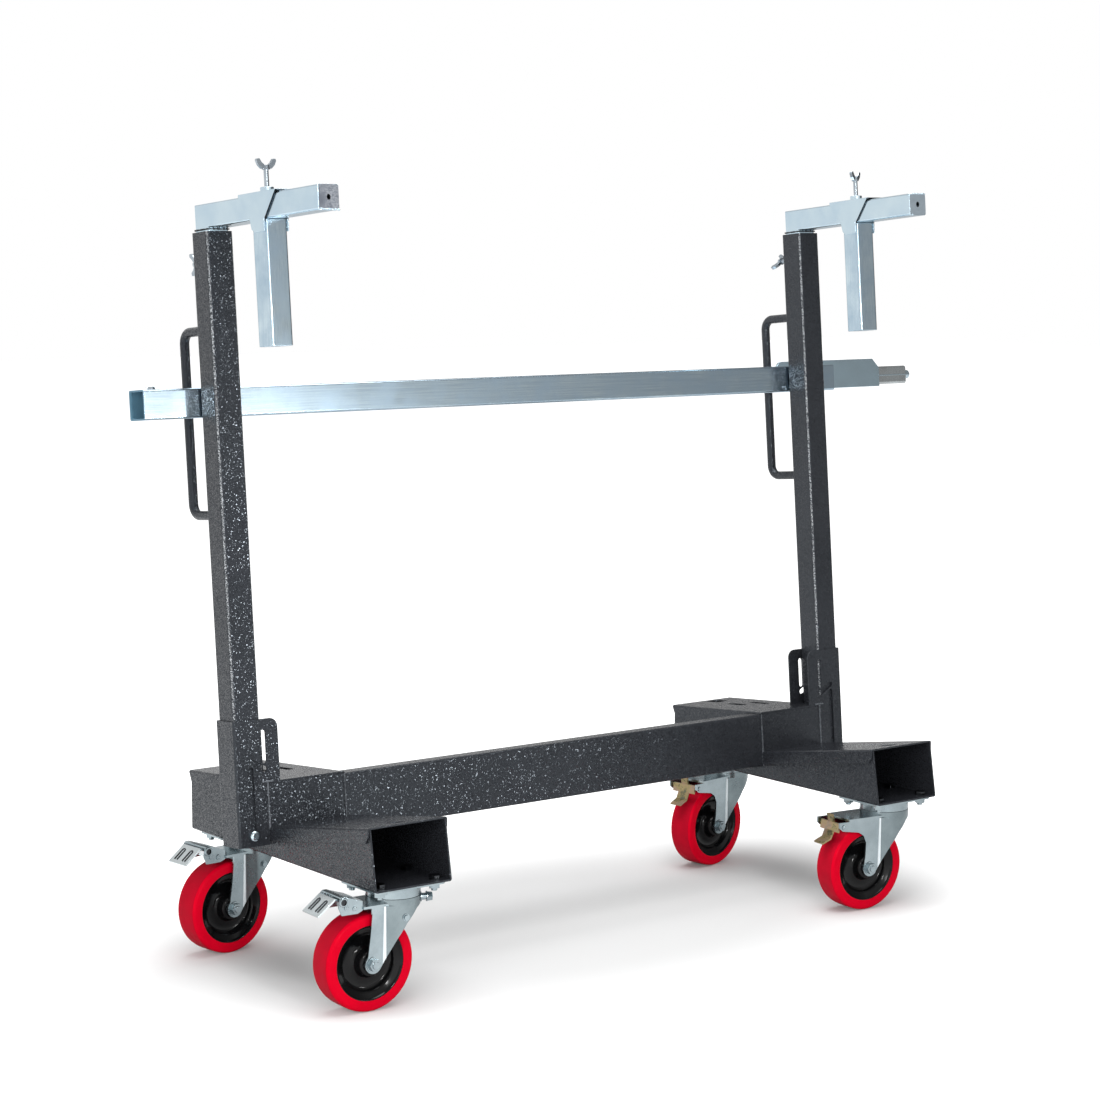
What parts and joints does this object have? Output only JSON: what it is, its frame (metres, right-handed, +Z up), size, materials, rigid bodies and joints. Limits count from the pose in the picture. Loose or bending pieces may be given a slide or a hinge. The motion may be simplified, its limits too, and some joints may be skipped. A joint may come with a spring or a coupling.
{
  "type": "panel trolley",
  "caption": "Wheeled trolley for carrying boards upright: two sheet-metal feet on swivel casters, leaning masts with telescopic arms, sliding clamps and a stored tow bar.",
  "frame": {"origin": "on the floor under the middle of the overall length and depth, the stored bar included; the base's own mid-plane is at X = -0.116", "axes": "+X along the cross beam to the right, +Y from the load beds to the masts' backs, +Z up"},
  "size_m": [1.796, 0.58, 1.3514],
  "materials": {
    "powder_coat": "textured powder coat",
    "zinc": "bright zinc plate",
    "bright_steel": "plated fastener",
    "yellow_zinc": "yellow passivated zinc",
    "red_tyre": "satin polyurethane",
    "black_core": "glossy moulding"
  },
  "bodies": {
    "base": {"cross_beam": "powder_coat", "left_foot_tray": "powder_coat", "left_load_bed": "powder_coat", "left_rear_lid": "powder_coat", "left_box_front": "powder_coat", "left_mast_socket": "powder_coat", "right_foot_tray": "powder_coat", "right_load_bed": "powder_coat", "right_rear_lid": "powder_coat", "right_box_front": "powder_coat", "right_mast_socket": "powder_coat", "caster_plates": "zinc", "caster_bolts": "bright_steel"},
    "left_mast": {"left_mast": "powder_coat", "left_handle": "powder_coat", "left_slot_bolt": "bright_steel"},
    "left_arm": {"left_arm": "zinc"},
    "left_clamp": {"left_clamp_saddle": "zinc", "left_clamp_leg": "zinc"},
    "left_mast_screw": {"left_mast_screw": "zinc"},
    "left_clamp_screw": {"left_clamp_screw": "zinc"},
    "right_mast": {"right_mast": "powder_coat", "right_handle": "powder_coat", "right_slot_bolt": "bright_steel"},
    "right_arm": {"right_arm": "zinc"},
    "right_clamp": {"right_clamp_saddle": "zinc", "right_clamp_leg": "zinc"},
    "right_mast_screw": {"right_mast_screw": "zinc"},
    "right_clamp_screw": {"right_clamp_screw": "zinc"},
    "bar": {"bar_tube": "zinc", "hitch_plate": "zinc", "hitch_pin": "zinc"},
    "bar_screw": {"bar_screw": "zinc"},
    "front_left_swivel": {"front_left_fork": "zinc", "front_left_axle": "bright_steel", "front_left_brake_housing": "zinc"},
    "front_left_wheel": {"front_left_tyre": "red_tyre", "front_left_wheel_core": "black_core", "front_left_bearing": "bright_steel"},
    "front_left_pedal": {"front_left_brake_pedal": "zinc"},
    "rear_left_swivel": {"rear_left_fork": "zinc", "rear_left_axle": "bright_steel", "rear_left_brake_housing": "zinc"},
    "rear_left_wheel": {"rear_left_tyre": "red_tyre", "rear_left_wheel_core": "black_core", "rear_left_bearing": "bright_steel"},
    "rear_left_pedal": {"rear_left_brake_pedal": "zinc"},
    "front_right_swivel": {"front_right_fork": "zinc", "front_right_axle": "bright_steel"},
    "front_right_wheel": {"front_right_tyre": "red_tyre", "front_right_wheel_core": "black_core", "front_right_bearing": "bright_steel"},
    "front_right_lever": {"front_right_lock_lever": "yellow_zinc"},
    "rear_right_swivel": {"rear_right_fork": "zinc", "rear_right_axle": "bright_steel"},
    "rear_right_wheel": {"rear_right_tyre": "red_tyre", "rear_right_wheel_core": "black_core", "rear_right_bearing": "bright_steel"},
    "rear_right_lever": {"rear_right_lock_lever": "yellow_zinc"}
  },
  "joints": [
    {"name": "left_mast_lift", "type": "slide", "parent": "base", "child": "left_mast", "axis": [0, 0.0872, 0.9962], "range_m": [0, 0.105]},
    {"name": "left_arm_height", "type": "slide", "parent": "left_mast", "child": "left_arm", "axis": [0, 0.0872, 0.9962], "range_m": [0, 0.25]},
    {"name": "left_clamp_slide", "type": "slide", "parent": "left_arm", "child": "left_clamp", "axis": [0.0436, -0.9952, 0.0871], "range_m": [-0.1, 0.1]},
    {"name": "left_mast_screw_turn", "type": "hinge", "parent": "left_mast", "child": "left_mast_screw", "pos_m": [-0.7685, 0.16555, 1.18287], "axis": [0, 0.9962, -0.0872], "continuous": true},
    {"name": "left_clamp_screw_turn", "type": "hinge", "parent": "left_clamp", "child": "left_clamp_screw", "pos_m": [-0.76117, -0.02533, 1.30547], "axis": [0, 0.0872, 0.9962], "continuous": true},
    {"name": "right_mast_lift", "type": "slide", "parent": "base", "child": "right_mast", "axis": [0, 0.0872, 0.9962], "range_m": [0, 0.105]},
    {"name": "right_arm_height", "type": "slide", "parent": "right_mast", "child": "right_arm", "axis": [0, 0.0872, 0.9962], "range_m": [0, 0.25]},
    {"name": "right_clamp_slide", "type": "slide", "parent": "right_arm", "child": "right_clamp", "axis": [-0.0436, -0.9952, 0.0871], "range_m": [-0.1, 0.1]},
    {"name": "right_mast_screw_turn", "type": "hinge", "parent": "right_mast", "child": "right_mast_screw", "pos_m": [0.5365, 0.16555, 1.18287], "axis": [0, 0.9962, -0.0872], "continuous": true},
    {"name": "right_clamp_screw_turn", "type": "hinge", "parent": "right_clamp", "child": "right_clamp_screw", "pos_m": [0.52917, -0.02533, 1.30547], "axis": [0, 0.0872, 0.9962], "continuous": true},
    {"name": "bar_slide", "type": "slide", "parent": "base", "child": "bar", "axis": [1, 0, 0], "range_m": [-0.07, 0.13]},
    {"name": "bar_screw_turn", "type": "hinge", "parent": "bar", "child": "bar_screw", "pos_m": [-0.87, 0.16561, 0.97708], "axis": [0, 0.0872, 0.9962], "continuous": true},
    {"name": "front_left_swivel_turn", "type": "hinge", "parent": "base", "child": "front_left_swivel", "pos_m": [-0.662, -0.23, 0.2025], "axis": [0, 0, 1], "continuous": true},
    {"name": "front_left_wheel_spin", "type": "hinge", "parent": "front_left_swivel", "child": "front_left_wheel", "pos_m": [-0.71892, -0.22702, 0.08], "axis": [0.0523, 0.9986, 0], "continuous": true},
    {"name": "front_left_pedal_press", "type": "hinge", "parent": "front_left_swivel", "child": "front_left_pedal", "pos_m": [-0.74988, -0.22539, 0.1745], "axis": [-0.0523, -0.9986, 0], "range_deg": [0, 20]},
    {"name": "rear_left_swivel_turn", "type": "hinge", "parent": "base", "child": "rear_left_swivel", "pos_m": [-0.662, 0.217, 0.2025], "axis": [0, 0, 1], "continuous": true},
    {"name": "rear_left_wheel_spin", "type": "hinge", "parent": "rear_left_swivel", "child": "rear_left_wheel", "pos_m": [-0.71874, 0.21154, 0.08], "axis": [-0.0958, 0.9954, 0], "continuous": true},
    {"name": "rear_left_pedal_press", "type": "hinge", "parent": "rear_left_swivel", "child": "rear_left_pedal", "pos_m": [-0.7496, 0.20857, 0.1745], "axis": [0.0958, -0.9954, 0], "range_deg": [0, 20]},
    {"name": "front_right_swivel_turn", "type": "hinge", "parent": "base", "child": "front_right_swivel", "pos_m": [0.43, -0.23, 0.2025], "axis": [0, 0, 1], "continuous": true},
    {"name": "front_right_wheel_spin", "type": "hinge", "parent": "front_right_swivel", "child": "front_right_wheel", "pos_m": [0.37331, -0.22404, 0.08], "axis": [0.1045, 0.9945, 0], "continuous": true},
    {"name": "front_right_lever_press", "type": "hinge", "parent": "front_right_swivel", "child": "front_right_lever", "pos_m": [0.31265, -0.21767, 0.1625], "axis": [-0.1045, -0.9945, 0], "range_deg": [0, 20]},
    {"name": "rear_right_swivel_turn", "type": "hinge", "parent": "base", "child": "rear_right_swivel", "pos_m": [0.43, 0.217, 0.2025], "axis": [0, 0, 1], "continuous": true},
    {"name": "rear_right_wheel_spin", "type": "hinge", "parent": "rear_right_swivel", "child": "rear_right_wheel", "pos_m": [0.3737, 0.20808, 0.08], "axis": [-0.1564, 0.9877, 0], "continuous": true},
    {"name": "rear_right_lever_press", "type": "hinge", "parent": "rear_right_swivel", "child": "rear_right_lever", "pos_m": [0.31345, 0.19854, 0.1625], "axis": [0.1564, -0.9877, 0], "range_deg": [0, 20]}
  ]
}
